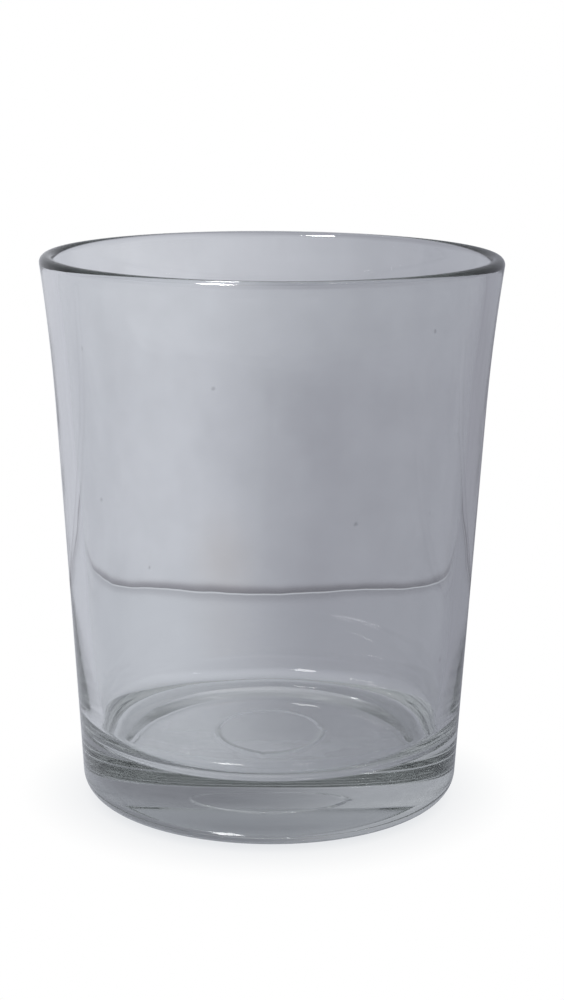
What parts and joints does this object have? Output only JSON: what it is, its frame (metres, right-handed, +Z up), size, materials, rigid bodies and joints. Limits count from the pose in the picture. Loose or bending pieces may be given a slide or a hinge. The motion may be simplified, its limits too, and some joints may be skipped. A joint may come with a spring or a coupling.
{
  "type": "candle jar",
  "caption": "Open clear-glass candle jar: tapered round tumbler with a slightly turned-out rim and a thick heavy base, for pouring a container candle.",
  "frame": {"origin": "centre of the base, on the plane the jar rests on", "axes": "+Z up the jar's axis towards the mouth; the jar is round, so X and Y are any two level directions"},
  "size_m": [0.0792, 0.0792, 0.0952],
  "materials": {
    "clear_glass": "fire-polished clear soda-lime glass, faint grey-green in the thick base"
  },
  "bodies": {
    "root": {"glass_jar": "clear_glass"}
  },
  "joints": []
}
